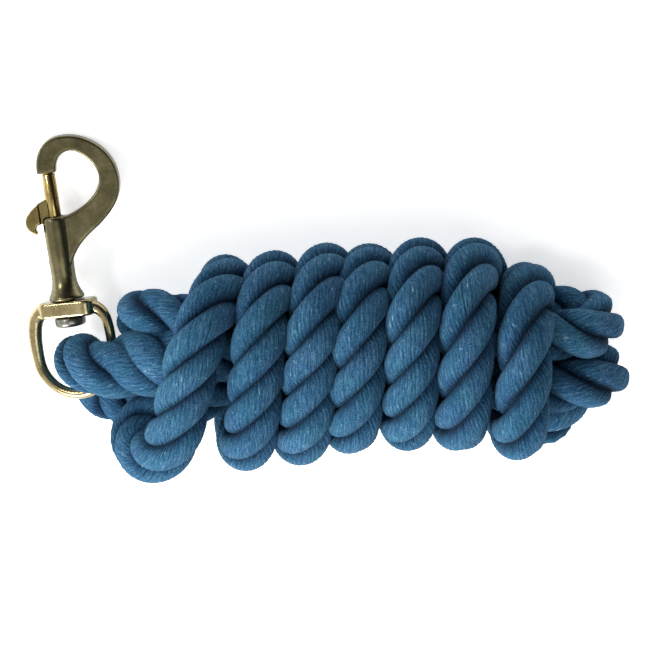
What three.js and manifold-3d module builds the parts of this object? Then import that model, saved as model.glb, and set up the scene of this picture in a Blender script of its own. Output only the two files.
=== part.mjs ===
// A three-strand cotton lead rope, put away as a wrapped hank, with a brass swivel bolt snap in its eye.
// Millimetres, +X along the hank away from the snap, +Z up. The origin is under the middle of the part's
// box, on the surface that the hank lies on.

import * as THREE from 'three';
import { mergeVertices } from 'three/addons/utils/BufferGeometryUtils.js';
import Module from 'manifold-3d';

const wasm = await Module();
wasm.setup();

// Rope.
const SQUEEZED_R = 8.1; // the rope's radius where it is pinched by the ring or lies under a bight
const ROPE_SIDES = 12;

// Hank: seven wraps round a core of four runs.
const HANK_HALF_WIDTH = 32.5;
const HANK_HALF_HEIGHT = 31.5;
const HANK_CORNER = 24;
const WRAPS_LEFT = -49; // the shoulder of the first wrap, on the hank's axis
const WRAPS_RIGHT = 64;
const FIRST_WRAP_LEAN = 0.36; // how far the first wrap leans along the hank for each unit across it
const LAST_WRAP_LEAN = 0.08;
const CORE_HALF_WIDTH = 19;
const CORE_HALF_HEIGHT = 15;
const CORE_RIGHT = 98; // the noses of the two bights
const CORE_LEFT = -68; // the nose of the bight behind the eye

// Bolt snap, in its own frame: +Y along the barrel to the hook, y = 0 at the barrel's foot.
const SNAP_AT = [-84.4, 12.3, 11.85];
const SNAP_LEAN = 8.3; // degrees, away from the hank
const SNAP_PITCH = 9.6; // degrees, hook end down
const EYE_ROLL = 20; // degrees, the swivel eye's hank side up
const PLATE = 6;
const PLATE_EDGE = 0.9;
const CROWN = { x: 9.2, y: 38.4, r: 14 };
const THROAT = { x: 9.6, y: 39.2, r: 7.6 };
const NOSE_END = 40.9;
const NOSE_LEFT = -3;
const NOSE_RIGHT = 2.8;
const MOUTH = 27.2; // where the bolt leaves the barrel
const BARREL_R = 4.4;
const FLARE_R = 5.85;
const BORE_R = 2.65;
const SLOT_WIDTH = 3;
const TRAVEL = 11;

// Bolt, thumb knob and spring.
const BOLT_R = 2.35;
const BOLT_FOOT = 21;
const BOLT_TIP_R = 1.7;
const BOLT_TIP = 1.3;
const NECK = { low: 25.3, high: 31.4, width: 2.4 };
const KNOB_WIDTH = 4.6;
const SPRING_TURNS = 7;
const SPRING_R = 1.9;
const SPRING_WIRE_R = 0.3;

// Swivel eye and its rivet.
const GAP = 0.3; // what touching pieces keep between them
const BAR = { halfWidth: 9.6, height: 5.4, depth: 9.4, corner: 3 };
const EYE_WIRE_R = 1.7;
const EYE_ARC_R = 13.35;
const EYE_ARC_Y = -18.05;
const RIVET_R = 2.3;
const RIVET_HEAD_R = 5;
const RIVET_HEAD = 2.9;
const RIVET_TOP = 4.2;

// The rope's eye: a bight that goes round the swivel eye's wire.
const HOLD_ANGLE = 20; // degrees below the middle of the wire's arc, on the hank side
const BIGHT_R = 10.5;

// The rope's free end, under the bights.
const END_FROM = [84.2, -2, 8.2];
const END_TO = [85, 8, 8.2];
const WHIPPING = { from: 2.4, length: 6, inner: 7.1, outer: 8 };

// Where the middle of the part's box lies in the hank's frame.
const ORIGIN = [0.2, 11.624, 0];

const radians = THREE.MathUtils.degToRad;
const V = (x, y, z) => new THREE.Vector3(x, y, z);

function solid(geometry) {
  const g = geometry.clone();
  g.deleteAttribute('normal');
  g.deleteAttribute('uv');
  const merged = mergeVertices(g, 1e-4);
  const corners = merged.index.array;
  const triangles = [];
  for (let i = 0; i < corners.length; i += 3) {
    const [a, b, c] = corners.subarray(i, i + 3);
    if (a !== b && b !== c && c !== a) triangles.push(a, b, c);
  }
  return new wasm.Manifold(
    new wasm.Mesh({
      numProp: 3,
      vertProperties: new Float32Array(merged.attributes.position.array),
      triVerts: new Uint32Array(triangles),
    }),
  );
}

function geometryOf(manifold) {
  const mesh = manifold.getMesh();
  const g = new THREE.BufferGeometry();
  g.setAttribute('position', new THREE.BufferAttribute(new Float32Array(mesh.vertProperties), 3));
  g.setIndex(new THREE.BufferAttribute(new Uint32Array(mesh.triVerts), 1));
  g.computeVertexNormals();
  return g;
}

function piece(name, geometry, colour, roughness, metalness) {
  const material = new THREE.MeshStandardMaterial({ color: colour, roughness, metalness });
  const mesh = new THREE.Mesh(geometry, material);
  mesh.name = name;
  return mesh;
}

function turned(profile, segments) {
  return new THREE.LatheGeometry(profile.map(([r, y]) => new THREE.Vector2(r, y)), segments);
}

function rod(radius, low, high, segments = 28) {
  return turned([[0, low], [radius, low], [radius, high], [0, high]], segments);
}

function block(x0, x1, y0, y1, z0, z1) {
  const g = new THREE.BoxGeometry(x1 - x0, y1 - y0, z1 - z0);
  g.translate((x0 + x1) / 2, (y0 + y1) / 2, (z0 + z1) / 2);
  return g;
}

function tube(curve, radius, sides, steps) {
  const ring = new THREE.Shape();
  for (let i = 0; i < sides; i++) {
    const a = (2 * Math.PI * i) / sides;
    const [x, y] = [radius * Math.cos(a), radius * Math.sin(a)];
    if (i === 0) ring.moveTo(x, y);
    else ring.lineTo(x, y);
  }
  ring.closePath();
  return new THREE.ExtrudeGeometry(ring, { steps, bevelEnabled: false, extrudePath: curve });
}

// A flat piece with rounded-off edges, centred on z = 0. Points that fall together are dropped first.
function plate(shape, thickness, edge, curveSegments) {
  const apart = 0.1;
  const outline = [];
  for (const p of shape.getPoints(curveSegments)) {
    const previous = outline[outline.length - 1];
    if (!previous || previous.distanceTo(p) > apart) outline.push(p);
  }
  while (outline[0].distanceTo(outline[outline.length - 1]) < apart) outline.pop();
  const g = new THREE.ExtrudeGeometry(new THREE.Shape(outline), {
    depth: thickness - 2 * edge,
    bevelThickness: edge,
    bevelSize: edge,
    bevelOffset: -edge,
    bevelSegments: 2,
  });
  g.translate(0, 0, -(thickness / 2 - edge));
  return g;
}

// One closed skin through rounded rectangles set across X. A station leans when its x grows with y.
function loft(stations, perCorner = 6) {
  const positions = [];
  const index = [];
  const count = 4 * (perCorner + 1);
  for (const s of stations) {
    for (let corner = 0; corner < 4; corner++) {
      const [sy, sz] = [[1, 1], [-1, 1], [-1, -1], [1, -1]][corner];
      for (let i = 0; i <= perCorner; i++) {
        const a = (Math.PI / 2) * (corner + i / perCorner);
        const y = s.cy + sy * (s.hy - s.r) + s.r * Math.cos(a);
        const z = s.cz + sz * (s.hz - s.r) + s.r * Math.sin(a);
        positions.push(s.x + s.lean * y, y, z);
      }
    }
  }
  for (let k = 0; k + 1 < stations.length; k++) {
    for (let i = 0; i < count; i++) {
      const [a, b] = [k * count + i, k * count + ((i + 1) % count)];
      index.push(a, b, b + count, a, b + count, a + count);
    }
  }
  const last = (stations.length - 1) * count;
  for (let i = 1; i + 1 < count; i++) {
    index.push(0, i + 1, i, last, last + i, last + i + 1);
  }
  const g = new THREE.BufferGeometry();
  g.setAttribute('position', new THREE.Float32BufferAttribute(positions, 3));
  g.setIndex(index);
  return g;
}

// The hank's outer shape: the bight behind the eye, the wraps, and the two bights at the far end.
function ropeHank() {
  const middle = HANK_HALF_HEIGHT;
  const wraps = { cy: 0, cz: middle, hy: HANK_HALF_WIDTH, hz: HANK_HALF_HEIGHT, r: HANK_CORNER };
  const bights = { lean: 0, cy: 1, cz: middle + 2, hy: CORE_HALF_WIDTH, hz: CORE_HALF_HEIGHT, r: 9 };
  const backBight = { lean: 0, cy: 12.5, hy: 8, r: 6 };
  const first = { lean: FIRST_WRAP_LEAN, cy: -5.5, cz: middle };
  return loft([
    { ...backBight, x: CORE_LEFT, cz: 22, hy: 5, hz: 8, r: 4 },
    { ...backBight, x: CORE_LEFT + 5, cz: 23, hz: 13 },
    { ...backBight, x: CORE_LEFT + 11, cz: 24, hz: 14 },
    { ...first, x: WRAPS_LEFT - 7, hy: 30, hz: 26, r: 20 },
    { ...first, x: WRAPS_LEFT, hy: 36.5, hz: HANK_HALF_HEIGHT, r: 26 },
    { ...wraps, x: WRAPS_LEFT + 13, lean: 0.25, cy: -2, hy: 33.5 },
    { ...wraps, x: WRAPS_LEFT + 29, lean: 0.1 },
    { ...wraps, x: WRAPS_RIGHT, lean: LAST_WRAP_LEAN },
    { ...wraps, x: WRAPS_RIGHT + 7, lean: LAST_WRAP_LEAN, hy: 30, hz: 29, r: 22 },
    { ...bights, x: WRAPS_RIGHT + 9 },
    { ...bights, x: CORE_RIGHT - 10 },
    { ...bights, x: CORE_RIGHT - 3.5, hy: 17, hz: 13 },
    { ...bights, x: CORE_RIGHT, hy: 12, hz: 8, r: 6 },
  ]);
}

// The snap's frame in the hank's frame, and the swivel eye's frame inside it.
const snapFrame = new THREE.Matrix4()
  .makeTranslation(...SNAP_AT)
  .multiply(new THREE.Matrix4().makeRotationZ(radians(SNAP_LEAN)))
  .multiply(new THREE.Matrix4().makeRotationX(-radians(SNAP_PITCH)));
const eyeFrame = snapFrame.clone().multiply(new THREE.Matrix4().makeRotationY(-radians(EYE_ROLL)));

// The rope comes over the swivel eye's wire, round it, down through the eye and back underneath.
function ropeEye() {
  const a = -radians(HOLD_ANGLE);
  const hold = V(EYE_ARC_R * Math.cos(a), EYE_ARC_Y + EYE_ARC_R * Math.sin(a), 0);
  const inwards = V(-Math.cos(a), -Math.sin(a), 0);
  const points = [V(-64, -8.4, 31.6)];
  for (const turn of [100, 75, 50, 25, 0]) {
    const t = radians(turn);
    const p = hold.clone().addScaledVector(inwards, BIGHT_R * Math.cos(t));
    p.z += BIGHT_R * Math.sin(t);
    points.push(p.applyMatrix4(eyeFrame));
  }
  points.push(V(-77.6, -12.2, 9.1), V(-73.8, -19.2, 8.15), V(-69.6, -23.2, 8.3));
  return tube(new THREE.CatmullRomCurve3(points), SQUEEZED_R, ROPE_SIDES, 24);
}

function alongEnd(from, to, radius) {
  const start = V(...END_FROM);
  const way = V(...END_TO).sub(start).normalize();
  const line = new THREE.LineCurve3(
    start.clone().addScaledVector(way, from),
    start.clone().addScaledVector(way, to),
  );
  return solid(tube(line, radius, 24, 1));
}

// The free end lies under the bights. It is thinner where the whipping grips it.
function ropeTail() {
  const start = V(...END_FROM);
  const way = V(...END_TO).sub(start).normalize();
  const points = [V(81.8, -15.5, 9.2), V(83.2, -8.5, 8.4), start];
  points.push(start.clone().addScaledVector(way, WHIPPING.from - GAP));
  const main = solid(tube(new THREE.CatmullRomCurve3(points), SQUEEZED_R, ROPE_SIDES, 8));
  const after = WHIPPING.from + WHIPPING.length + GAP;
  const neck = alongEnd(WHIPPING.from - 1, after + 1, WHIPPING.inner - GAP);
  return geometryOf(main.add(neck).add(alongEnd(after, after + 2, SQUEEZED_R - 0.4)));
}

function endWhipping() {
  const [from, to] = [WHIPPING.from, WHIPPING.from + WHIPPING.length];
  return geometryOf(alongEnd(from, to, WHIPPING.outer).subtract(alongEnd(from - 1, to + 1, WHIPPING.inner)));
}

// The hook's flat outline: nose, crown, shoulder, and back round the throat.
function hookOutline() {
  const s = new THREE.Shape();
  const crownStart = Math.PI - Math.acos((CROWN.x - NOSE_LEFT) / CROWN.r);
  s.moveTo(NOSE_LEFT, NOSE_END);
  s.lineTo(NOSE_LEFT, NOSE_END + 2.4);
  s.absarc(CROWN.x, CROWN.y, CROWN.r, crownStart, radians(-25), true);
  s.quadraticCurveTo(20.3, 26.2, 14.6, 21.9);
  s.quadraticCurveTo(6.2, 16.9, 3.6, 11.5);
  s.lineTo(0, 11.5);
  s.lineTo(0, MOUTH - 0.2);
  s.lineTo(4, MOUTH - 0.1);
  s.bezierCurveTo(9.4, MOUTH, 16.4, 31.2, THROAT.x + THROAT.r * Math.cos(radians(-13)), 37.5);
  s.absarc(THROAT.x, THROAT.y, THROAT.r, radians(-13), radians(75), false);
  s.absarc(THROAT.x, THROAT.y, THROAT.r, radians(105), radians(158), false);
  s.lineTo(NOSE_RIGHT, NOSE_END);
  s.closePath();
  return s;
}

// Hook and barrel in one casting. The bore runs from the foot to the mouth, and the slot down one side.
function snapBody() {
  const barrel = turned(
    [
      [0, 0], [FLARE_R, 0], [FLARE_R, 0.9], [5.3, 2], [4.4, 4.2], [3.95, 7.2], [4, 10.5],
      [BARREL_R - 0.1, 14.5], [BARREL_R, 18], [BARREL_R, MOUTH - 0.5], [BARREL_R - 0.5, MOUTH], [0, MOUTH],
    ],
    32,
  );
  const slotFoot = NECK.low - TRAVEL - 1;
  return geometryOf(
    solid(plate(hookOutline(), PLATE, PLATE_EDGE, 14))
      .add(solid(barrel))
      .subtract(solid(rod(BORE_R, -1, MOUTH + 1)))
      .subtract(solid(block(-6, 0, slotFoot, MOUTH + 1, -SLOT_WIDTH / 2, SLOT_WIDTH / 2)))
      .subtract(solid(rod(BOLT_TIP_R + GAP, NOSE_END - 1, NOSE_END + BOLT_TIP))),
  );
}

function bolt() {
  const shoulder = NOSE_END - GAP;
  const body = turned(
    [
      [0, BOLT_FOOT], [BOLT_R - 0.3, BOLT_FOOT], [BOLT_R, BOLT_FOOT + 0.3], [BOLT_R, shoulder],
      [BOLT_TIP_R, shoulder], [BOLT_TIP_R - 0.3, NOSE_END + BOLT_TIP - GAP], [0, NOSE_END + BOLT_TIP - GAP],
    ],
    28,
  );
  const pocket = NECK.width / 2 + GAP;
  return geometryOf(
    solid(body).subtract(solid(block(-4, -1, NECK.low - GAP, NECK.high + GAP, -pocket, pocket))),
  );
}

// A neck through the barrel's slot, and a curl outside it for the thumb.
function thumbKnob() {
  const inside = -1 - GAP;
  const clear = -(BARREL_R + GAP);
  const neck = block(clear - 0.6, inside, NECK.low, NECK.high, -NECK.width / 2, NECK.width / 2);
  const s = new THREE.Shape();
  s.moveTo(clear, NECK.high + 0.1);
  s.quadraticCurveTo(-7.6, 29.6, -9, 27.8);
  s.quadraticCurveTo(-10, 26.2, -9.1, 24.3);
  s.quadraticCurveTo(-8.2, 22.6, -6.5, 22.3);
  s.lineTo(-5.9, 22.7);
  s.quadraticCurveTo(-6.7, 24.2, -5.6, 25);
  s.lineTo(clear, NECK.low);
  s.closePath();
  return geometryOf(solid(plate(s, KNOB_WIDTH, 0.5, 6)).add(solid(neck)));
}

class Helix extends THREE.Curve {
  constructor(radius, low, high, turns) {
    super();
    Object.assign(this, { radius, low, high, turns });
  }

  getPoint(t, target = new THREE.Vector3()) {
    const a = 2 * Math.PI * this.turns * t;
    return target.set(this.radius * Math.cos(a), this.low + (this.high - this.low) * t, this.radius * Math.sin(a));
  }
}

function boltSpring() {
  const margin = SPRING_WIRE_R + GAP;
  const helix = new Helix(SPRING_R, RIVET_TOP + margin, BOLT_FOOT - margin, SPRING_TURNS);
  return tube(helix, SPRING_WIRE_R, 6, SPRING_TURNS * 11);
}

function roundedBar() {
  const { halfWidth: w, depth, corner: c } = BAR;
  const h = depth / 2;
  const s = new THREE.Shape();
  s.moveTo(w - c, -h);
  s.absarc(w - c, c - h, c, -Math.PI / 2, 0, false);
  s.absarc(w - c, h - c, c, 0, Math.PI / 2, false);
  s.absarc(c - w, h - c, c, Math.PI / 2, Math.PI, false);
  s.absarc(c - w, c - h, c, Math.PI, 1.5 * Math.PI, false);
  s.closePath();
  const g = plate(s, BAR.height, 0.6, 5);
  g.rotateX(Math.PI / 2);
  g.translate(0, -GAP - BAR.height / 2, 0);
  return g;
}

// A bored bar that turns on the rivet, and a bent wire that closes it into a ring for the rope.
function swivelEye() {
  const side = EYE_ARC_R;
  const points = [V(-7, -3, 0), V(-11.2, -5.2, 0), V(-side, -10, 0)];
  for (let i = 0; i <= 8; i++) {
    const a = Math.PI + (Math.PI * i) / 8;
    points.push(V(side * Math.cos(a), EYE_ARC_Y + EYE_ARC_R * Math.sin(a), 0));
  }
  points.push(V(side, -10, 0), V(11.2, -5.2, 0), V(7, -3, 0));
  const ring = tube(new THREE.CatmullRomCurve3(points), EYE_WIRE_R, 12, 56);
  return geometryOf(solid(roundedBar()).add(solid(ring)).subtract(solid(rod(RIVET_R + GAP, -9, 1))));
}

function swivelRivet() {
  const top = -GAP - BAR.height - GAP;
  const low = top - RIVET_HEAD;
  return turned(
    [
      [0, low], [RIVET_HEAD_R - 0.8, low], [RIVET_HEAD_R, low + 0.7], [RIVET_HEAD_R, top - 0.3],
      [RIVET_HEAD_R - 0.3, top], [RIVET_R, top], [RIVET_R, RIVET_TOP], [0, RIVET_TOP],
    ],
    28,
  );
}

const snap = new THREE.Group();
snap.applyMatrix4(snapFrame);
snap.add(piece('snap_body', snapBody(), 0x8d8464, 0.42, 1));
snap.add(piece('bolt', bolt(), 0xc9a24a, 0.25, 1));
snap.add(piece('thumb_knob', thumbKnob(), 0xa08a52, 0.35, 1));
snap.add(piece('bolt_spring', boltSpring(), 0x9a9a9a, 0.35, 1));
snap.add(piece('swivel_rivet', swivelRivet(), 0x9c978c, 0.4, 1));
const eye = piece('swivel_eye', swivelEye(), 0xc2ab6a, 0.3, 1);
eye.rotation.y = -radians(EYE_ROLL);
snap.add(eye);

const part = new THREE.Group();
part.position.set(-ORIGIN[0], -ORIGIN[1], -ORIGIN[2]);
part.add(piece('rope_hank', ropeHank(), 0x2a5580, 0.95, 0));
part.add(piece('rope_eye', ropeEye(), 0x2a5580, 0.95, 0));
part.add(piece('rope_tail', ropeTail(), 0x2a5580, 0.95, 0));
part.add(piece('end_whipping', endWhipping(), 0x22466b, 0.9, 0));
part.add(snap);

export default part;
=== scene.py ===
"""A three-strand cotton lead rope put away as a wrapped hank, with a brass swivel bolt snap in its eye.

Lengths are in millimetres in the hank's own frame, whose origin is on the floor under the hank's axis,
until row() brings them into the row frame in metres.
"""

import math

import bmesh
import bpy
import numpy as np
from mathutils import Matrix, Vector


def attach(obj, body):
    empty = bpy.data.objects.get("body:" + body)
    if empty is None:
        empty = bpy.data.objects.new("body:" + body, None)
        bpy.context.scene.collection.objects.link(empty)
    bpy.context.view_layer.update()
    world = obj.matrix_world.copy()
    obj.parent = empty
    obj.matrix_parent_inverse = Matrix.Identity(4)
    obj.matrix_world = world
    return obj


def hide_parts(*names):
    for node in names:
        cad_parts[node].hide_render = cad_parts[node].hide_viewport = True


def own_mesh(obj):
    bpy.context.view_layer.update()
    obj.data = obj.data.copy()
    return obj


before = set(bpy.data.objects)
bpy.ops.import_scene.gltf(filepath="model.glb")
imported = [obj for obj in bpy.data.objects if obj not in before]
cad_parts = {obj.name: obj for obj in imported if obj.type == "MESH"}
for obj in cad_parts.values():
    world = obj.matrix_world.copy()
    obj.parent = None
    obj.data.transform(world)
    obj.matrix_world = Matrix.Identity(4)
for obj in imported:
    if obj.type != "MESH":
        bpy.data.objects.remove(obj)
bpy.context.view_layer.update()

MM = 0.001
ORIGIN = Vector((0.2, 11.624, 0.0))  # the middle of the CAD box, in the hank's frame


def row(point):
    return (Vector(point) - ORIGIN) * MM


# Camera ------------------------------------------------------------------------------------------

TILT = math.radians(17)
TARGET = row((-0.6, 9.4, 31.5))
DISTANCE = 1.6
VIEW_WIDTH = 0.2089  # how much the picture's width takes in at the target
SENSOR = 36.0
CLIP = (0.1, 10.0)


def linked(name, data):
    """A new object of the scene that shows the mesh, camera or light."""
    made = bpy.data.objects.new(name, data)
    bpy.context.scene.collection.objects.link(made)
    return made


def make_camera():
    data = bpy.data.cameras.new("camera")
    data.sensor_width = SENSOR
    data.lens = SENSOR * DISTANCE / VIEW_WIDTH
    data.clip_start, data.clip_end = CLIP
    camera = linked("camera", data)
    camera.rotation_euler = (-TILT, 0.0, 0.0)
    camera.location = TARGET + Vector((0.0, math.sin(TILT), math.cos(TILT))) * DISTANCE
    bpy.context.scene.camera = camera


make_camera()


# Mesh and node helpers ---------------------------------------------------------------------------


def mesh_object(name, vertices, faces):
    """A smooth-shaded mesh object, in whichever frame and unit its points are."""
    mesh = bpy.data.meshes.new(name)
    mesh.from_pydata([tuple(v) for v in vertices], [], [tuple(f) for f in faces])
    mesh.update()
    mesh.shade_smooth()
    return linked(name, mesh)


class Nodes:
    """A material's node tree, with short ways to add and join nodes."""

    def __init__(self, name):
        self.material = bpy.data.materials.new(name)
        self.material.use_nodes = True
        self.tree = self.material.node_tree
        self.shader = self.tree.nodes["Principled BSDF"]

    def add(self, kind, **settings):
        node = self.tree.nodes.new(kind)
        for key, value in settings.items():
            setattr(node, key, value)
        return node

    def set(self, socket, value):
        if isinstance(value, bpy.types.NodeSocket):
            self.tree.links.new(value, socket)
        else:
            socket.default_value = value

    def noise(self, vector, scale, detail=3.0, roughness=0.55):
        node = self.add("ShaderNodeTexNoise")
        self.set(node.inputs["Vector"], vector)
        self.set(node.inputs["Scale"], scale)
        self.set(node.inputs["Detail"], detail)
        self.set(node.inputs["Roughness"], roughness)
        return node.outputs["Fac"]

    def stretched(self, vector, scale):
        node = self.add("ShaderNodeMapping")
        self.set(node.inputs["Vector"], vector)
        self.set(node.inputs["Scale"], scale)
        return node.outputs["Vector"]

    def ramp(self, value, stops):
        node = self.add("ShaderNodeValToRGB")
        self.set(node.inputs["Fac"], value)
        elements = node.color_ramp.elements
        while len(elements) < len(stops):
            elements.new(0.5)
        for element, (place, colour) in zip(elements, stops):
            element.position = place
            element.color = colour if len(colour) == 4 else (*colour, 1.0)
        return node.outputs["Color"]

    def remap(self, value, low, high, to_low=0.0, to_high=1.0):
        node = self.add("ShaderNodeMapRange")
        for name, x in zip(
            ("Value", "From Min", "From Max", "To Min", "To Max"),
            (value, low, high, to_low, to_high),
        ):
            self.set(node.inputs[name], x)
        return node.outputs["Result"]

    def mix(self, factor, a, b, blend="MIX"):
        node = self.add("ShaderNodeMix", data_type="RGBA", blend_type=blend)
        self.set(node.inputs["Factor"], factor)
        self.set(node.inputs["A"], a)
        self.set(node.inputs["B"], b)
        return node.outputs["Result"]

    def maths(self, operation, a, b=0.0):
        node = self.add("ShaderNodeMath", operation=operation)
        self.set(node.inputs[0], a)
        self.set(node.inputs[1], b)
        return node.outputs["Value"]

    def bump(self, height, strength, distance):
        node = self.add("ShaderNodeBump")
        self.set(node.inputs["Height"], height)
        self.set(node.inputs["Strength"], strength)
        self.set(node.inputs["Distance"], distance)
        self.set(self.shader.inputs["Normal"], node.outputs["Normal"])

    def attribute(self, name):
        return self.add("ShaderNodeAttribute", attribute_name=name).outputs["Fac"]

    def place(self):
        return self.add("ShaderNodeTexCoord").outputs["Object"]


# Rope's route ------------------------------------------------------------------------------------

ROPE_D = 18.0
LAY = 38.7  # along the rope, for one turn of its three strands, where nothing else is said
FLOOR_Z = 8.2  # the centreline's height where the rope lies on the floor

# The snap's and the swivel eye's places, as in the CAD source.
SNAP_FRAME = (
    Matrix.Translation((-84.4, 12.3, 11.85))
    @ Matrix.Rotation(math.radians(8.3), 4, "Z")
    @ Matrix.Rotation(math.radians(-9.6), 4, "X")
)
EYE_FRAME = SNAP_FRAME @ Matrix.Rotation(math.radians(-20), 4, "Y")
EYE_ARC_R = 13.35
EYE_ARC_Y = -18.05

# The eye's bight goes round the swivel eye's wire at HOLD_ANGLE on its arc, and thickens on its way up.
HOLD_ANGLE = math.radians(-20)
HOLD_R = 11.2
HOLD_TURNS = (0, 25, 50, 75, 100)
HOLD_THICKNESS = 0.9
HOLD_THICKENS = 0.14

# Each point is (x, y, z, the rope's thickness there as a share of ROPE_D). Wraps' points also have a lay.
SHORT_END = [
    (-43.5, -20.0, 15.0, 0.86), (-52.0, -23.4, 10.4, 0.9), (-61.0, -24.6, 8.8, 0.93),
    (-69.6, -23.4, 8.6, 0.93), (-74.0, -19.4, 8.4, 0.92), (-77.6, -12.6, 9.2, 0.9),
]
FIRST_RUN = [
    (-64.2, -4.4, 30.2, 1.16), (-53.0, -1.8, 34.4, 1.28), (-38.0, 0.4, 39.0, 1.02),
    (-20.0, 5.5, 40.0, 0.9), (0.0, 8.5, 39.5, 0.9), (40.0, 8.5, 39.5, 0.9), (64.0, 9.5, 41.0, 0.93),
]
SECOND_RUN = [
    (64.0, 10.5, 24.0, 0.92), (40.0, 8.5, 23.5, 0.9), (0.0, 8.5, 23.5, 0.9),
    (-35.0, 8.0, 22.0, 0.9), (-46.0, 5.5, 14.0, 0.92), (-53.0, 4.7, 10.2, 0.94),
    (-58.5, 6.3, 13.0, 0.94), (-60.6, 9.0, 20.3, 0.94), (-58.2, 11.6, 27.6, 0.94),
]
THIRD_RUN = [
    (-50.5, 12.5, 31.2, 0.94), (-39.0, 9.0, 33.0, 0.9), (-24.0, 0.0, 36.0, 0.9),
    (-8.0, -7.0, 39.0, 0.9), (8.0, -8.5, 39.5, 0.9), (45.0, -8.5, 39.5, 0.9), (66.0, -8.8, 41.0, 0.93),
]
FOURTH_RUN = [
    (64.0, -8.8, 24.0, 0.92), (40.0, -8.5, 23.5, 0.9), (0.0, -8.5, 23.5, 0.9),
    (-28.0, -9.0, 24.0, 0.9), (-41.0, -17.0, 24.0, 0.95), (-51.5, -21.5, 25.5, 0.98),
    (-59.8, -25.5, 28.0, 1.0), (-62.4, -30.0, 31.8, 1.0), (-58.2, -33.2, 36.6, 1.0),
]
FREE_END = [
    (68.0, -13.0, 9.2, 0.96), (67.5, -22.0, 10.2, 0.96), (70.2, -29.2, 13.8, 0.98),
    (74.4, -26.4, 13.2, 0.96), (78.5, -20.0, 11.0, 0.93), (82.0, -13.5, 9.0, 0.92),
    (84.0, -5.5, FLOOR_Z, 0.91), (84.8, 2.5, FLOOR_Z, 0.9), (85.2, 10.5, FLOOR_Z, 0.88),
]

# Right-hand bights: the nose's place along the hank, and where the upper and lower legs lie across it.
BIGHTS = [
    {"nose": 87.6, "upper": 9.4, "lower": 12.0},
    {"nose": 89.6, "upper": -7.0, "lower": -6.0},
]
BIGHT_TURNS = (90, 45, 0, -45, -90)
BIGHT_MIDDLE = 33.4
BIGHT_HALF = 8.6
BIGHT_THICKNESS = 0.93

# Each wrap: its x at its -Y and +Y sides, the y of its centreline at those sides, and its lay, which
# differs from wrap to wrap.
WRAPS = [
    (-56.9, -32.8, -32.5, 22.4, 39.9),
    (-27.0, -18.0, -28.8, 24.0, 38.0),
    (-9.3, -1.3, -26.9, 26.4, 38.4),
    (7.1, 12.5, -23.2, 26.0, 38.5),
    (25.4, 28.6, -21.9, 28.0, 38.1),
    (42.1, 46.0, -22.5, 28.0, 44.5),
    (61.2, 64.0, -25.1, 20.0, 46.0),
]
AFTER_LAST = (71.0, -25.5)  # where one more wrap would come up at the -Y side
WRAP_MIDDLE = 31.5
WRAP_HALF_HEIGHT = 22.5
WRAP_SQUARENESS = 2.6
STEPS_PER_HALF = 8
FIRST_WRAP_STARTS = 0.14  # as a share of its upper half
LAST_WRAP_LEAVES = 0.5  # as a share of its lower half


def eye_bight():
    """Round the swivel eye's wire, from under it to over it."""
    hold = Vector((
        EYE_ARC_R * math.cos(HOLD_ANGLE), EYE_ARC_Y + EYE_ARC_R * math.sin(HOLD_ANGLE), 0.0))
    inwards = Vector((-math.cos(HOLD_ANGLE), -math.sin(HOLD_ANGLE), 0.0))
    points = []
    for turn in HOLD_TURNS:
        t = math.radians(turn)
        place = hold + inwards * HOLD_R * math.cos(t) + Vector((0.0, 0.0, HOLD_R * math.sin(t)))
        thickness = HOLD_THICKNESS + HOLD_THICKENS * turn / HOLD_TURNS[-1]
        points.append((*(EYE_FRAME @ place), thickness))
    return points


def bight(nose, upper, lower):
    """A fold at the far end, standing on edge, from its upper leg to its lower."""
    points = []
    for turn in BIGHT_TURNS:
        t = math.radians(turn)
        across = lower + (upper - lower) * (1 + math.sin(t)) / 2
        x = nose - BIGHT_HALF * (1 - math.cos(t))
        points.append((x, across, BIGHT_MIDDLE + BIGHT_HALF * math.sin(t), BIGHT_THICKNESS))
    return points


def half_wrap(start, end, lay, lower_half, first=0.0, last=1.0):
    """Half a turn round the hank between two (along, across) places, over the top or underneath."""
    points = []
    for i in range(STEPS_PER_HALF + 1):
        share = i / STEPS_PER_HALF
        if not first <= share < last:
            continue
        t = math.pi * share
        c, s = math.cos(t), math.sin(t)
        reach = math.copysign(abs(c) ** (2 / WRAP_SQUARENESS), c)
        across = (start[1] + end[1]) / 2 + (start[1] - end[1]) / 2 * reach
        rise = WRAP_HALF_HEIGHT * abs(s) ** (2 / WRAP_SQUARENESS)
        height = WRAP_MIDDLE + (-rise if lower_half else rise)
        points.append((start[0] + (end[0] - start[0]) * share, across, height, 1.0, lay))
    return points


def wraps():
    points = []
    for k, (low_x, high_x, low_y, high_y, lay) in enumerate(WRAPS):
        last = k + 1 == len(WRAPS)
        after = AFTER_LAST if last else (WRAPS[k + 1][0], WRAPS[k + 1][2])
        starts = FIRST_WRAP_STARTS if k == 0 else 0.0
        leaves = LAST_WRAP_LEAVES if last else 1.0
        points += half_wrap((low_x, low_y), (high_x, high_y), lay, False, first=starts)
        points += half_wrap((high_x, high_y), after, lay, True, last=leaves)
    return points


def route():
    """The whole centreline's points: x, y, z, thickness and lay."""
    points = (
        SHORT_END + eye_bight() + FIRST_RUN + bight(**BIGHTS[0]) + SECOND_RUN + THIRD_RUN
        + bight(**BIGHTS[1]) + FOURTH_RUN + wraps() + FREE_END)
    return np.array([p if len(p) == 5 else (*p, LAY) for p in points], float)


ROWS_BETWEEN_POINTS = 24


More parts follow.
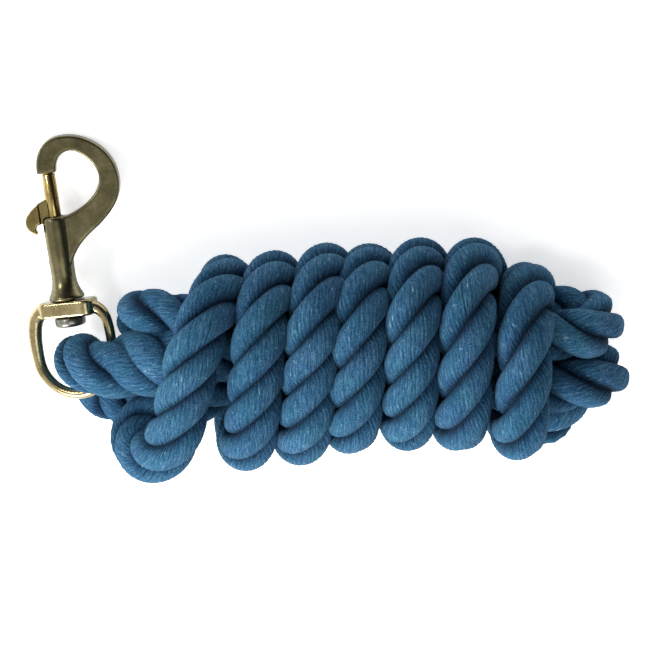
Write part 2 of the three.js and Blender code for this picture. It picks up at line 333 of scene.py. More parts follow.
def curve_through(points, step):
    """A smooth curve through the points, with rows step apart. All columns are carried along."""
    ends = np.vstack([2 * points[0] - points[1], points, 2 * points[-1] - points[-2]])
    chords = np.linalg.norm(np.diff(ends[:, :3], axis=0), axis=1)
    knots = np.concatenate([[0], np.cumsum(chords ** 0.5)])
    rows = []
    for i in range(1, len(ends) - 2):
        p0, p1, p2, p3 = ends[i - 1 : i + 3]
        t0, t1, t2, t3 = knots[i - 1 : i + 3]
        t = np.linspace(t1, t2, ROWS_BETWEEN_POINTS, endpoint=False)[:, None]
        a1 = (t1 - t) / (t1 - t0) * p0 + (t - t0) / (t1 - t0) * p1
        a2 = (t2 - t) / (t2 - t1) * p1 + (t - t1) / (t2 - t1) * p2
        a3 = (t3 - t) / (t3 - t2) * p2 + (t - t2) / (t3 - t2) * p3
        b1 = (t2 - t) / (t2 - t0) * a1 + (t - t0) / (t2 - t0) * a2
        b2 = (t3 - t) / (t3 - t1) * a2 + (t - t1) / (t3 - t1) * a3
        rows.append((t2 - t) / (t2 - t1) * b1 + (t - t1) / (t2 - t1) * b2)
    return spaced(np.vstack(rows + [points[-1:]]), step)


def spaced(line, step):
    """The line again, with its rows step apart along it."""
    steps = np.linalg.norm(np.diff(line[:, :3], axis=0), axis=1)
    along = np.concatenate([[0], np.cumsum(steps)])
    at = np.linspace(0, along[-1], int(along[-1] / step) + 1)
    return np.stack([np.interp(at, along, line[:, k]) for k in range(line.shape[1])], axis=1)


def softened(line, reach):
    """The line with its small kinks smoothed away over reach rows to each side. Its ends stay."""
    weights = np.exp(-0.5 * (np.arange(-2 * reach, 2 * reach + 1) / reach) ** 2)
    weights /= weights.sum()
    before = 2 * line[0] - line[2 * reach : 0 : -1]
    after = 2 * line[-1] - line[-2 : -2 * reach - 2 : -1]
    padded = np.vstack([before, line, after])
    return np.stack([np.convolve(column, weights, "valid") for column in padded.T], axis=1)


def frames_along(line):
    """Two cross directions at each row, which turn as little as they can along the line."""
    tangents = np.gradient(line, axis=0)
    tangents /= np.linalg.norm(tangents, axis=1)[:, None]
    normals = np.empty_like(tangents)
    start = np.cross(tangents[0], (0.0, 0.0, 1.0))
    normals[0] = start / np.linalg.norm(start)
    for i in range(1, len(line)):
        n = normals[i - 1] - tangents[i] * (normals[i - 1] @ tangents[i])
        normals[i] = n / np.linalg.norm(n)
    return normals, np.cross(tangents, normals)


# Rope's strands ----------------------------------------------------------------------------------

STRANDS = 3
STRAND_PLACE = 0.262  # a strand's middle from the rope's, as a share of the rope's diameter
STRAND_OUT = 0.238  # half a strand's thickness outwards, and sideways
STRAND_SIDE = 0.248
STRAND_SQUARENESS = 2.5
STRAND_END = 2.2  # how far from its end a strand starts to round off
STRAND_END_SQUEEZE = 0.05
YARNS = 16
COLUMNS_PER_YARN = 5
YARN_RELIEF = 0.1
YARN_ROUNDNESS = 0.7
YARN_LOW = 0.8  # where a yarn's section crosses the strand's own outline, as a share of its relief
YARN_TWIST = -0.43  # radians for each millimetre of rope, against the lay
RING_STEP = 1.1
ROUTE_SOFTENING = 5  # in rows half as far apart as the rings
ROPE_LIFT = 0.05  # the lowest the rope's skin may lie
SEED = 7

# How far each thing wanders along the rope, and the millimetres between its bends.
LAY_WAVER, LAY_WAVER_SPACING = 0.06, 40
SWELL, SWELL_SPACING = 0.035, 14
YARN_WANDER, YARN_WANDER_SPACING = 0.07, 9
YARN_BULK, YARN_BULK_SPACING = 0.35, 6
START_ANGLES = 6.28  # each strand's yarns start at a random angle below this

# Painted shade darkens the hollows between strands and between yarns: how deep the hollows reach, and how
# much each counts.
HOLLOW_REACH = 0.4
HOLLOW_STRANDS = 0.82
HOLLOW_YARNS = 0.18
UV_BETWEEN_STRANDS = 40  # so that no two strands have the same fibres


def gentle(length, spacing, rng):
    """Smooth random numbers of about -1 to 1 for length rings, with a bend every spacing millimetres."""
    spacing = spacing / RING_STEP
    knots = rng.uniform(-1, 1, int(length / spacing) + 4)
    eased_knots = np.convolve(knots, (0.25, 0.5, 0.25), "same")
    return np.interp(np.arange(length) / spacing, np.arange(len(knots)), eased_knots)


def gentle_yarns(length, spacing, rng):
    """The same for each yarn, as one column for each of a strand's columns."""
    yarns = np.stack([gentle(length, spacing, rng) for _ in range(YARNS)], axis=1)
    return np.repeat(yarns, COLUMNS_PER_YARN, axis=1)


def superellipse(c, s, squareness):
    """How far out a rounded square's outline is at an angle with this cosine and sine."""
    return (np.abs(c) ** squareness + np.abs(s) ** squareness) ** (-1 / squareness)


def unit(vectors):
    return vectors / np.linalg.norm(vectors, axis=1)[:, None]


def strand_axes(line, radius, angle, normals, sides):
    """A strand's own middle, and its outward and sideways directions, row by row."""
    outwards = np.cos(angle)[:, None] * normals + np.sin(angle)[:, None] * sides
    middle = line + outwards * (2 * STRAND_PLACE * radius)[:, None]
    lead = unit(np.gradient(middle, axis=0))
    outwards = unit(outwards - lead * (outwards * lead).sum(1)[:, None])
    return middle, outwards, np.cross(lead, outwards)


def strand_grid(rings, columns, k):
    """The quads of strand k, and their UVs in yarns round and millimetres along."""
    i, j = np.meshgrid(np.arange(rings - 1), np.arange(columns), indexing="ij")
    following = (j + 1) % columns
    quads = np.stack([
        i * columns + j, i * columns + following,
        (i + 1) * columns + following, (i + 1) * columns + j], axis=2).reshape(-1, 4)
    uv = np.stack([
        np.stack([j, i], 2), np.stack([j + 1, i], 2),
        np.stack([j + 1, i + 1], 2), np.stack([j, i + 1], 2)], axis=2).reshape(-1, 4, 2).astype(float)
    uv[:, :, 0] = uv[:, :, 0] / COLUMNS_PER_YARN + UV_BETWEEN_STRANDS * k
    uv[:, :, 1] *= RING_STEP
    return quads + k * rings * columns, uv


def strand_mesh(line, radius, lay, rng):
    """Vertices, faces, UVs and painted shade in the hollows, of all the strands that lie round the line."""
    normals, sides = frames_along(line)
    rings = len(line)
    along = np.arange(rings) * RING_STEP
    turn = np.cumsum(2 * math.pi * RING_STEP / lay) + LAY_WAVER * gentle(rings, LAY_WAVER_SPACING, rng)
    columns = YARNS * COLUMNS_PER_YARN
    column = np.arange(columns)
    yarn_share = (column % COLUMNS_PER_YARN) / COLUMNS_PER_YARN
    ridge = np.sin(math.pi * yarn_share) ** YARN_ROUNDNESS
    end_taper = np.clip(np.minimum(along, along[-1] - along) / STRAND_END, 0, 1)
    end_round = np.sqrt(np.clip(1 - (1 - end_taper) ** 2, STRAND_END_SQUEEZE, 1))
    vertices, faces, coordinates, hollow_shades = [], [], [], []
    for k in range(STRANDS):
        angle = turn + 2 * math.pi * k / STRANDS
        middle, outwards, sideways = strand_axes(line, radius, angle, normals, sides)
        swell = 1 + SWELL * gentle(rings, SWELL_SPACING, rng)
        swell *= end_round
        beta = 2 * math.pi * column[None, :] / columns + YARN_TWIST * along[:, None]
        beta = beta + rng.uniform(0, START_ANGLES)
        beta += YARN_WANDER * gentle_yarns(rings, YARN_WANDER_SPACING, rng)
        bulk = 1 + YARN_BULK * gentle_yarns(rings, YARN_BULK_SPACING, rng)
        c, s = np.cos(beta), np.sin(beta)
        relief = YARN_RELIEF * (ridge[None, :] * bulk - YARN_LOW)
        grown = 2 * radius[:, None] * superellipse(c, s, STRAND_SQUARENESS) * swell[:, None]
        out = STRAND_OUT * grown + relief
        side = STRAND_SIDE * grown + relief
        ring = (
            middle[:, None, :]
            + outwards[:, None, :] * (out * c)[:, :, None]
            + sideways[:, None, :] * (side * s)[:, :, None]
        )
        reach = np.linalg.norm(ring - line[:, None, :], axis=2) / radius[:, None]
        # Painted shade: deepest between the strands, and a little between the yarns.
        hollow_shade = HOLLOW_STRANDS * np.clip((1.0 - reach) / HOLLOW_REACH, 0, 1)
        hollow_shade += HOLLOW_YARNS * (1 - ridge)[None, :]
        quads, uv = strand_grid(rings, columns, k)
        vertices.append(ring.reshape(-1, 3))
        hollow_shades.append(hollow_shade.reshape(-1))
        faces.append(quads)
        coordinates.append(uv)
    return np.vstack(vertices), np.vstack(faces), np.vstack(coordinates), np.concatenate(hollow_shades)


def rope_object(name, vertices, faces, uv, hollow_shade, rings):
    """The strands as one mesh, with their ends closed."""
    columns = YARNS * COLUMNS_PER_YARN
    caps = []
    for k in range(STRANDS):
        first = k * rings * columns
        caps.append([first + j for j in reversed(range(columns))])
        caps.append([first + (rings - 1) * columns + j for j in range(columns)])
    mesh = bpy.data.meshes.new(name)
    points = np.array(row((0, 0, 0)), float) + vertices * MM
    mesh.from_pydata(points.tolist(), [], faces.tolist() + caps)
    mesh.update()
    mesh.shade_smooth()
    layer = mesh.uv_layers.new(name="yarn")
    flat = np.zeros((len(mesh.loops), 2), np.float32)
    flat[: faces.size] = uv.reshape(-1, 2)
    layer.data.foreach_set("uv", flat.ravel())
    depth = mesh.attributes.new("hollow_shade", "FLOAT", "POINT")
    depth.data.foreach_set("value", hollow_shade.astype(np.float32))
    return linked(name, mesh)


# Colour ramps as (place, colour) stops. The last three multiply the cotton's own colour.
COTTON = [
    (0.35, (0.007, 0.037, 0.085)), (0.46, (0.02, 0.084, 0.162)),
    (0.54, (0.042, 0.133, 0.228)), (0.65, (0.105, 0.25, 0.365)),
]
UNEVEN_DYE = [(0.36, (0.96, 1.0, 0.97)), (0.5, (1.0, 0.98, 1.0)), (0.64, (1.1, 0.96, 1.02))]
FUZZ = [(0.3, (0.4, 0.48, 0.55)), (0.5, (1.0, 1.0, 1.0)), (0.68, (1.9, 1.6, 1.42))]
# Painted shade for the hollows between strands and yarns, darker the deeper.
HOLLOW_SHADE = [
    (0.0, (1.0, 1.0, 1.0)), (0.25, (0.66, 0.7, 0.74)),
    (0.6, (0.22, 0.27, 0.32)), (1.0, (0.04, 0.06, 0.09)),
]
FLECK = (0.2, 0.44, 0.55, 1.0)
LINT = (0.42, 0.6, 0.7, 1.0)
SHEEN = (0.55, 0.72, 0.9, 1.0)


def rope_material():
    """Blue cotton: fibres along the yarns, uneven dye, fuzz, pale flecks, and painted shade in the hollows.
    """
    n = Nodes("rope_cotton")
    uv = n.add("ShaderNodeUVMap", uv_map="yarn").outputs["UV"]
    place = n.place()
    fibres = n.noise(n.stretched(uv, (3.8, 0.62, 1.0)), 1.0, 4.0, 0.7)
    blotches = n.noise(place, 38.0, 3.0)
    yarn_tone = n.noise(n.stretched(uv, (1.0, 0.02, 1.0)), 1.3, 2.0)
    blend = n.maths("ADD", n.maths("MULTIPLY", fibres, 0.66), n.maths("MULTIPLY", yarn_tone, 0.18))
    blend = n.maths("ADD", blend, n.maths("MULTIPLY", blotches, 0.16))
    cotton = n.ramp(blend, COTTON)
    dye = n.noise(place, 95.0, 2.0)
    cotton = n.mix(1.0, cotton, n.ramp(dye, UNEVEN_DYE), "MULTIPLY")
    fuzz = n.noise(place, 2000.0, 3.0, 0.75)
    cotton = n.mix(1.0, cotton, n.ramp(fuzz, FUZZ), "MULTIPLY")
    flecks = n.remap(n.noise(place, 520.0, 2.0, 0.6), 0.67, 0.76)
    cotton = n.mix(n.maths("MULTIPLY", flecks, 0.4), cotton, FLECK)
    lint = n.remap(n.noise(n.stretched(uv, (1.6, 0.45, 1.0)), 1.3, 1.0), 0.735, 0.78)
    cotton = n.mix(n.maths("MULTIPLY", lint, 0.5), cotton, LINT)
    # Painted shade: the cotton is darkened in the hollows.
    shade = n.ramp(n.attribute("hollow_shade"), HOLLOW_SHADE)
    n.set(n.shader.inputs["Base Color"], n.mix(1.0, cotton, shade, "MULTIPLY"))
    n.set(n.shader.inputs["Roughness"], n.remap(fibres, 0.3, 0.7, 0.82, 0.97))
    n.set(n.shader.inputs["Sheen Weight"], 0.05)
    n.set(n.shader.inputs["Sheen Roughness"], 0.5)
    n.set(n.shader.inputs["Sheen Tint"], SHEEN)
    n.set(n.shader.inputs["Specular IOR Level"], 0.06)
    height = n.maths("ADD", fibres, n.maths("MULTIPLY", fuzz, 0.8))
    n.bump(height, 0.8, 0.0003)
    return n.material


def make_rope():
    rng = np.random.default_rng(SEED)
    line = softened(curve_through(route(), RING_STEP / 2), ROUTE_SOFTENING)
    line = spaced(line, RING_STEP)
    centre, radius = line[:, :3], line[:, 3] * ROPE_D / 2
    radius *= squeeze_at_whipping(centre)
    vertices, faces, uv, hollow_shade = strand_mesh(centre, radius, line[:, 4], rng)
    vertices[:, 2] = np.maximum(vertices[:, 2], ROPE_LIFT)
    rope = rope_object("lead_rope", vertices, faces, uv, hollow_shade, len(centre))
    rope.data.materials.append(rope_material())
    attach(rope, "rope")
    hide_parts("rope_hank", "rope_eye", "rope_tail")
    return rope, centre


# Whipping ----------------------------------------------------------------------------------------

WHIPPING_FROM_END = 3.5
WHIPPING_LENGTH = 7.2
WHIPPING_R = 6.9
WHIPPING_SQUEEZE = 0.16
WHIPPING_FADE = 4.0  # how far beyond the whipping the rope is still thinned
TWINE_R = 0.55
TWINE_STEPS_PER_TURN = 28
TWINE_SIDES = 10
TWINE_LIFT = 0.1
TWINE = [(0.3, (0.012, 0.045, 0.09)), (0.7, (0.04, 0.1, 0.17))]


def distance_to_end(centre):
    """How far each row is from the rope's free end, along the rope."""
    steps = np.linalg.norm(np.diff(centre, axis=0), axis=1)
    return np.concatenate([np.cumsum(steps[::-1])[::-1], [0.0]])


def squeeze_at_whipping(centre):
    """How much the whipping thins the rope, row by row."""
    middle = WHIPPING_FROM_END + WHIPPING_LENGTH / 2
    away = np.abs(distance_to_end(centre) - middle) - WHIPPING_LENGTH / 2
    grip = 1 - np.clip(away / WHIPPING_FADE, 0, 1)
    return 1 - WHIPPING_SQUEEZE * grip * grip * (3 - 2 * grip)


def tube_mesh(line, radius, sides):
    """Vertices and faces of a round tube with closed ends. radius is a number or one for each row."""
    normals, across = frames_along(line)
    radius = np.broadcast_to(radius, len(line))
    angle = 2 * math.pi * np.arange(sides) / sides
    ring = (
        line[:, None, :]
        + normals[:, None, :] * (np.cos(angle)[None, :] * radius[:, None])[:, :, None]
        + across[:, None, :] * (np.sin(angle)[None, :] * radius[:, None])[:, :, None]
    )
    faces = []
    for i in range(0, (len(line) - 1) * sides, sides):
        for j in range(sides):
            following = (j + 1) % sides
            faces.append((i + j, i + following, i + sides + following, i + sides + j))
    faces.append(tuple(reversed(range(sides))))
    faces.append(tuple((len(line) - 1) * sides + j for j in range(sides)))
    return ring.reshape(-1, 3), faces


def make_whipping(centre):
    rest = distance_to_end(centre)
    normals, sides = frames_along(centre)
    turns = int(WHIPPING_LENGTH / (2 * TWINE_R))
    t = np.linspace(0, 1, turns * TWINE_STEPS_PER_TURN)
    at = WHIPPING_FROM_END + TWINE_R + (WHIPPING_LENGTH - 2 * TWINE_R) * t
    angle = 2 * math.pi * turns * t
    middle, up, across = [
        np.stack([np.interp(-at, -rest, column) for column in field.T], axis=1)
        for field in (centre, normals, sides)
    ]
    helix = middle + WHIPPING_R * (np.cos(angle)[:, None] * up + np.sin(angle)[:, None] * across)
    vertices, faces = tube_mesh(helix, TWINE_R, TWINE_SIDES)
    vertices[:, 2] = np.maximum(vertices[:, 2], TWINE_LIFT)
    made = mesh_object("end_twine", [row(v) for v in vertices], faces)
    n = Nodes("whipping_twine")
    grain = n.noise(n.place(), 1500.0, 3.0)
    n.set(n.shader.inputs["Base Color"], n.ramp(grain, TWINE))
    n.set(n.shader.inputs["Roughness"], n.remap(grain, 0.3, 0.7, 0.7, 0.95))
    n.bump(grain, 0.6, 0.0001)
    made.data.materials.append(n.material)
    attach(made, "rope")
    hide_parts("end_whipping")
    return made


rope, rope_line = make_rope()
whipping = make_whipping(rope_line)


# Metal pieces --------------------------------------------------------------------------------------
# Their own frame is SNAP_FRAME, or EYE_FRAME for the swivel eye: +Y along the barrel to the hook.

PLATE = 6.0
PLATE_EDGE = 1.5
NOSE_END = 41.6
MOUTH = 27.2
BORE_R = 2.65
SLOT_FOOT = 13.3
BOLT_R = 2.2
BOLT_FOOT = 21.0
BOLT_TIP = 1.3
GAP = 0.3
BAR = {"half_width": 9.6, "height": 5.4, "depth": 9.4, "corner": 3.0}
RIVET_TOP = 4.2


def arc(x, y, r, start, end, steps):
    """Points on an arc in degrees, both ends included."""
    return [
        (x + r * math.cos(math.radians(a)), y + r * math.sin(math.radians(a)))
        for a in np.linspace(start, end, steps)
    ]


def bend(*corners, steps=8):
    """Points on a quadratic or cubic Bezier curve, without its first point."""
    points = []
    for i in range(1, steps + 1):
        t = i / steps
        level = [Vector(c) for c in corners]
        while len(level) > 1:
            level = [a.lerp(b, t) for a, b in zip(level, level[1:])]
        points.append(tuple(level[0]))
    return points


def prism(outline, thickness):
    """A closed flat solid between z = -thickness / 2 and thickness / 2, as a new bmesh."""
    shape = bmesh.new()
    low = [shape.verts.new((x, y, -thickness / 2)) for x, y in outline]
    high = [shape.verts.new((x, y, thickness / 2)) for x, y in outline]
    shape.faces.new(reversed(low))
    shape.faces.new(high)
    for i in range(len(low)):
        j = (i + 1) % len(low)
        shape.faces.new((low[i], low[j], high[j], high[i]))
    bmesh.ops.recalc_face_normals(shape, faces=shape.faces)
    return shape


def eased(shape, width, segments=4):
    """Rounds the two rims of a prism."""
    rims = [e for e in shape.edges if abs(e.verts[0].co.z - e.verts[1].co.z) < 0.01]
    bmesh.ops.bevel(
        shape, geom=rims, offset=width, segments=segments, profile=0.5,
        affect="EDGES", clamp_overlap=True)
    return shape


def turned(profile, segments=48):
    """A closed solid turned round Y from (radius, y) points, which start and end on the axis."""
    shape = bmesh.new()
    rings = []
    for radius, y in profile:
        if radius == 0:
            rings.append([shape.verts.new((0.0, y, 0.0))])
            continue
        angles = [2 * math.pi * i / segments for i in range(segments)]
        rings.append([shape.verts.new((radius * math.cos(a), y, radius * math.sin(a))) for a in angles])
    for a, b in zip(rings, rings[1:]):
        for i in range(segments):
            j = (i + 1) % segments
            corners = [a[i % len(a)], a[j % len(a)], b[j % len(b)], b[i % len(b)]]
            shape.faces.new(list(dict.fromkeys(corners)))
    bmesh.ops.recalc_face_normals(shape, faces=shape.faces)
    return shape


def block(x0, x1, y0, y1, z0, z1):
    shape = prism([(x0, y0), (x1, y0), (x1, y1), (x0, y1)], z1 - z0)
    bmesh.ops.translate(shape, verts=shape.verts, vec=(0, 0, (z0 + z1) / 2))
    return shape


def to_object(name, shape):
    mesh = bpy.data.meshes.new(name)
    shape.to_mesh(mesh)
    shape.free()
    return linked(name, mesh)


def apply_modifiers(base):
    seen = base.evaluated_get(bpy.context.evaluated_depsgraph_get())
    mesh = bpy.data.meshes.new_from_object(seen)
    base.modifiers.clear()
    base.data = mesh


def combined(base, others, operation):
    """base with the other shapes joined on or cut away. The others are used up."""
    for other in others:
        tool = to_object("tool", other)
        step = base.modifiers.new("step", "BOOLEAN")
        step.operation, step.object, step.solver = operation, tool, "EXACT"
        apply_modifiers(base)
        bpy.data.objects.remove(tool)
    return base


def cast(base, voxel, rounds):
    """Melts a piece's joins together, as a casting's are, and leaves an even, smooth skin."""
    melt = base.modifiers.new("melt", "REMESH")
    melt.mode, melt.voxel_size = "VOXEL", voxel
    ease = base.modifiers.new("ease", "SMOOTH")
    ease.factor, ease.iterations = 0.5, rounds
    apply_modifiers(base)


# By how much the skin faces up or down: rims that do so halfway are worn, and upright sides get painted
# shade.
RIM_FACING, RIM_SPREAD = 0.62, 0.34
SIDE_SHADE_FADE = 1.3


def place_metal(made, into, body, material, slot_name, *nodes, smooth_angle=None):
    """Marks wear and painted shade, brings a piece from its own frame into the row frame, and ties it to the
    CAD.
    """
    mesh = made.data
    facing = np.abs(np.array([v.normal for v in mesh.vertices])[:, 2])
    marks = {
        "worn": np.clip(1 - np.abs(facing - RIM_FACING) / RIM_SPREAD, 0, 1),
        "side_shade": np.clip(1 - SIDE_SHADE_FADE * facing, 0, 1),
    }
    for name, values in marks.items():
        mark = mesh.attributes.new(name, "FLOAT", "POINT")
        mark.data.foreach_set("value", values.astype(np.float32))
    own = mesh.attributes.new("own", "FLOAT_VECTOR", "POINT")
    own.data.foreach_set("vector", np.array([v.co for v in mesh.vertices], np.float32).ravel())
    mesh.transform(Matrix.Scale(MM, 4) @ Matrix.Translation(-ORIGIN) @ into)
    mesh.shade_smooth()
    if smooth_angle:
        mesh.set_sharp_from_angle(angle=math.radians(smooth_angle))
    mesh.materials.clear()
    mesh.materials.append(material)
    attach(made, body)
    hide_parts(*nodes)
    return made


# How dark the painted shade on upright sides goes, and how worn rims brighten and smooth.
SIDE_SHADE_DARKENS = 0.3
WEAR_BRIGHTENS = 1.45
WEAR_SMOOTHS = 0.12


def metal_material(name, dark, mid, light, roughness, grain, depth, wear=0.0, lengthwise=(1, 1, 1)):
    """Brass or steel with patches of tarnish, fine marks, rims worn bright, and painted shade on upright
    sides.
    """
    n = Nodes(name)
    own = n.add("ShaderNodeAttribute", attribute_name="own").outputs["Vector"]
    patches = n.noise(own, 0.16, 4.0, 0.6)
    specks = n.noise(own, 1.9, 3.0)
    tone = n.maths("ADD", n.maths("MULTIPLY", patches, 0.72), n.maths("MULTIPLY", specks, 0.28))
    colour = n.ramp(tone, [(0.34, dark), (0.5, mid), (0.68, light)])
    marks = n.noise(n.stretched(own, lengthwise), grain, 3.0, 0.6)
    # Painted shade: upright sides are darkened towards the dark colour, by more in some tarnish patches than
    # in others.
    shadowed = n.maths("MULTIPLY", n.attribute("side_shade"), n.remap(patches, 0.35, 0.6, 0.85, 0.6))
    colour = n.mix(shadowed, colour, (*[SIDE_SHADE_DARKENS * c for c in dark], 1.0))
    if wear:
        rim = n.maths("MULTIPLY", n.attribute("worn"), n.remap(specks, 0.35, 0.6, 0.55, 1.0))
        bare = (*[min(1.0, WEAR_BRIGHTENS * c) for c in light], 1.0)
        colour = n.mix(n.maths("MULTIPLY", rim, wear), colour, bare)
        rough = n.remap(tone, 0.3, 0.7, roughness + 0.08, roughness - 0.05)
        rough = n.maths("SUBTRACT", rough, n.maths("MULTIPLY", rim, WEAR_SMOOTHS * wear))
    else:
        rough = n.remap(tone, 0.3, 0.7, roughness + 0.07, roughness - 0.05)
    n.set(n.shader.inputs["Base Color"], colour)
    n.set(n.shader.inputs["Metallic"], 1.0)
    n.set(n.shader.inputs["Roughness"], rough)
    n.bump(marks, 0.5, depth)
    return n.material


# The hook's flat outline as Bezier curves, each from the end of the one before: round its outside from
# the nose over the crown and shoulder to the barrel, then round the throat back to the nose.
NOSE_LEFT, NOSE_RIGHT = -3.5, 2.7
BARREL_JOIN = 11.5
HOOK_OUTSIDE = (
    ((-3.7, 47.5), (-1.2, 52.6), (5.2, 53.1)),
    ((12.5, 53.7), (22.4, 47.5), (22.7, 37.5)),
    ((22.9, 30.5), (19.5, 27.0), (14.2, 22.7)),
    ((5.6, 17.4), (3.6, BARREL_JOIN)),
)
HOOK_THROAT = (
    ((9.0, 28.4), (16.2, 32.5), (16.3, 38.4)),
    ((16.3, 42.6), (11.0, 48.2), (7.6, 47.9)),
    ((4.4, 47.6), (2.8, 45.0), (NOSE_RIGHT, NOSE_END)),
)
HOOK_STEPS = 14


def hook_outline():
    points = [(NOSE_LEFT, NOSE_END)]
    for corners in HOOK_OUTSIDE:
        points += bend(points[-1], *corners, steps=HOOK_STEPS)
    points += [(0.0, BARREL_JOIN), (0.0, MOUTH - 0.2), (4.0, MOUTH - 0.1)]
    for corners in HOOK_THROAT:
        points += bend(points[-1], *corners, steps=HOOK_STEPS)
    return points


# (radius, y) up the barrel's outside, from its flared foot to its mouth.
BARREL_PROFILE = [
    (0, 0), (5.4, 0), (5.75, 0.18), (5.85, 0.5), (5.8, 0.95), (5.45, 1.7), (5.0, 2.6), (4.45, 4.0),
    (4.1, 5.6), (3.95, 7.4), (3.98, 10.5), (4.2, 13.8), (4.36, 17.5), (4.4, 22), (4.4, MOUTH - 0.9),
    (4.2, MOUTH - 0.3), (3.8, MOUTH), (0, MOUTH),
]
SLOT_HALF_WIDTH = 1.5
SOCKET_R = 2.0  # in the nose, for the bolt's tip


def drill(radius, low, high, segments=32):
    """A plain round tool along Y."""
    return turned([(0, low), (radius, low), (radius, high), (0, high)], segments)


def make_casting(material):
    body = to_object("snap_casting", eased(prism(hook_outline(), PLATE), PLATE_EDGE))
    combined(body, [turned(BARREL_PROFILE)], "UNION")
    combined(body, [
        drill(BORE_R, -1, MOUTH + 1),
        block(-6, 0, SLOT_FOOT, MOUTH + 1, -SLOT_HALF_WIDTH, SLOT_HALF_WIDTH),
        drill(SOCKET_R, NOSE_END - 1, NOSE_END + BOLT_TIP, segments=24),
    ], "DIFFERENCE")
    cast(body, 0.24, 4)
    return place_metal(body, SNAP_FRAME, "snap", material, "cast_brass", "snap_body")


BOLT_TIP_R = 1.7
PIN_SEGMENTS = 56
PIN_SMOOTH_ANGLE = 40


def make_bolt(material):
    shoulder = NOSE_END - GAP
    tip = NOSE_END + BOLT_TIP - GAP
    body = to_object("snap_bolt", turned([
        (0, BOLT_FOOT), (1.9, BOLT_FOOT), (2.1, BOLT_FOOT + 0.1), (BOLT_R, BOLT_FOOT + 0.4),
        (BOLT_R, 30), (BOLT_R, shoulder - 0.35), (2.1, shoulder - 0.08), (1.95, shoulder),
        (BOLT_TIP_R, shoulder), (BOLT_TIP_R, tip - 0.4), (1.45, tip - 0.05), (0, tip)], PIN_SEGMENTS))
    return place_metal(
        body, SNAP_FRAME, "plunger", material, "polished_brass", "bolt", smooth_angle=PIN_SMOOTH_ANGLE)


# The thumb piece's flat outline: down its outer side as Bezier curves, round the curl, and back up.
KNOB_X = -4.7  # its straight side, clear of the barrel
KNOB_TOP, KNOB_INSIDE, KNOB_FOOT = 31.9, 25.3, 22.6
KNOB_SIDE = ((-7.6, 30.4), (-9.2, 28.0))
KNOB_CURL = (((-10.0, 26.2), (-9.1, 24.3)), ((-8.2, 22.6), (-6.5, 22.2)))
KNOB_UNDERSIDE = ((-6.9, 24.2), (-5.7, 25.1))
KNOB_THICKNESS, KNOB_EDGE = 4.6, 0.95
NECK_X, NECK_TOP, NECK_THICKNESS, NECK_OVERLAP = -1.3, 33.4, 2.4, 0.6


def make_knob(material):
    outline = [(KNOB_X, KNOB_TOP)]
    outline += bend(outline[-1], *KNOB_SIDE)
    for corners in KNOB_CURL:
        outline += bend(outline[-1], *corners, steps=6)
    outline += [(-5.9, KNOB_FOOT)]
    outline += bend(outline[-1], *KNOB_UNDERSIDE, steps=6)
    outline += [(KNOB_X, KNOB_INSIDE)]
    body = to_object("snap_knob", eased(prism(outline, KNOB_THICKNESS), KNOB_EDGE, 3))
    neck_from = KNOB_X - NECK_OVERLAP
    neck = prism([
        (neck_from, KNOB_INSIDE), (NECK_X, KNOB_INSIDE), (NECK_X, NECK_TOP), (neck_from, KNOB_TOP)],
        NECK_THICKNESS)
    combined(body, [neck], "UNION")
    cast(body, 0.16, 4)
    return place_metal(body, SNAP_FRAME, "plunger", material, "knob_brass", "thumb_knob")


RIVET_HEAD_HEIGHT = 2.9
RIVET_HEAD_R = 5.0
RIVET_R = 2.3


def make_rivet(material):
    top = -2 * GAP - BAR["height"]
    low = top - RIVET_HEAD_HEIGHT
    body = to_object("swivel_pin", turned([
        (0, low), (3.9, low), (4.4, low + 0.12), (4.8, low + 0.45), (4.98, low + 0.95),
        (RIVET_HEAD_R, low + 1.5), (RIVET_HEAD_R, top - 0.5), (4.85, top - 0.12), (4.6, top),
        (RIVET_R, top), (RIVET_R, RIVET_TOP), (0, RIVET_TOP)], PIN_SEGMENTS))
    return place_metal(
        body, SNAP_FRAME, "snap", material, "rivet_steel", "swivel_rivet", smooth_angle=PIN_SMOOTH_ANGLE)


SPRING_R = 1.9
SPRING_WIRE_R = 0.3
SPRING_TURNS = 7
SPRING_STEPS_PER_TURN = 24


def make_spring(material):
    low, high = RIVET_TOP + SPRING_WIRE_R + GAP, BOLT_FOOT - SPRING_WIRE_R - GAP
    t = np.linspace(0, 1, SPRING_TURNS * SPRING_STEPS_PER_TURN)
    angle = 2 * math.pi * SPRING_TURNS * t
    line = np.stack([SPRING_R * np.cos(angle), low + (high - low) * t, SPRING_R * np.sin(angle)], axis=1)
    vertices, faces = tube_mesh(line, SPRING_WIRE_R, 8)
    body = mesh_object("snap_spring", vertices, faces)
    place_metal(body, SNAP_FRAME, "snap", material, "spring_steel", "bolt_spring")
    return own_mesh(body)


# The eye's wire from the bar to its arc on the -X side. The +X side mirrors it.
EYE_SHOULDER = [(-6.5, -3.0), (-9.6, -3.6), (-12.1, -6.0), (-13.3, -11.0)]
EYE_SHARES = [0, 0.12, 0.22, 0.4, 0.62, 0.82, 0.9, 1]
EYE_WIRE_R = [2.5, 2.5, 2.1, 1.75, 1.6, 1.65, 1.9, 2.4]  # at these shares of the points
EYE_WIRE_STEP = 0.7
EYE_WIRE_SIDES = 24
BAR_EDGE = 0.9
BAR_BORE_R = 2.6


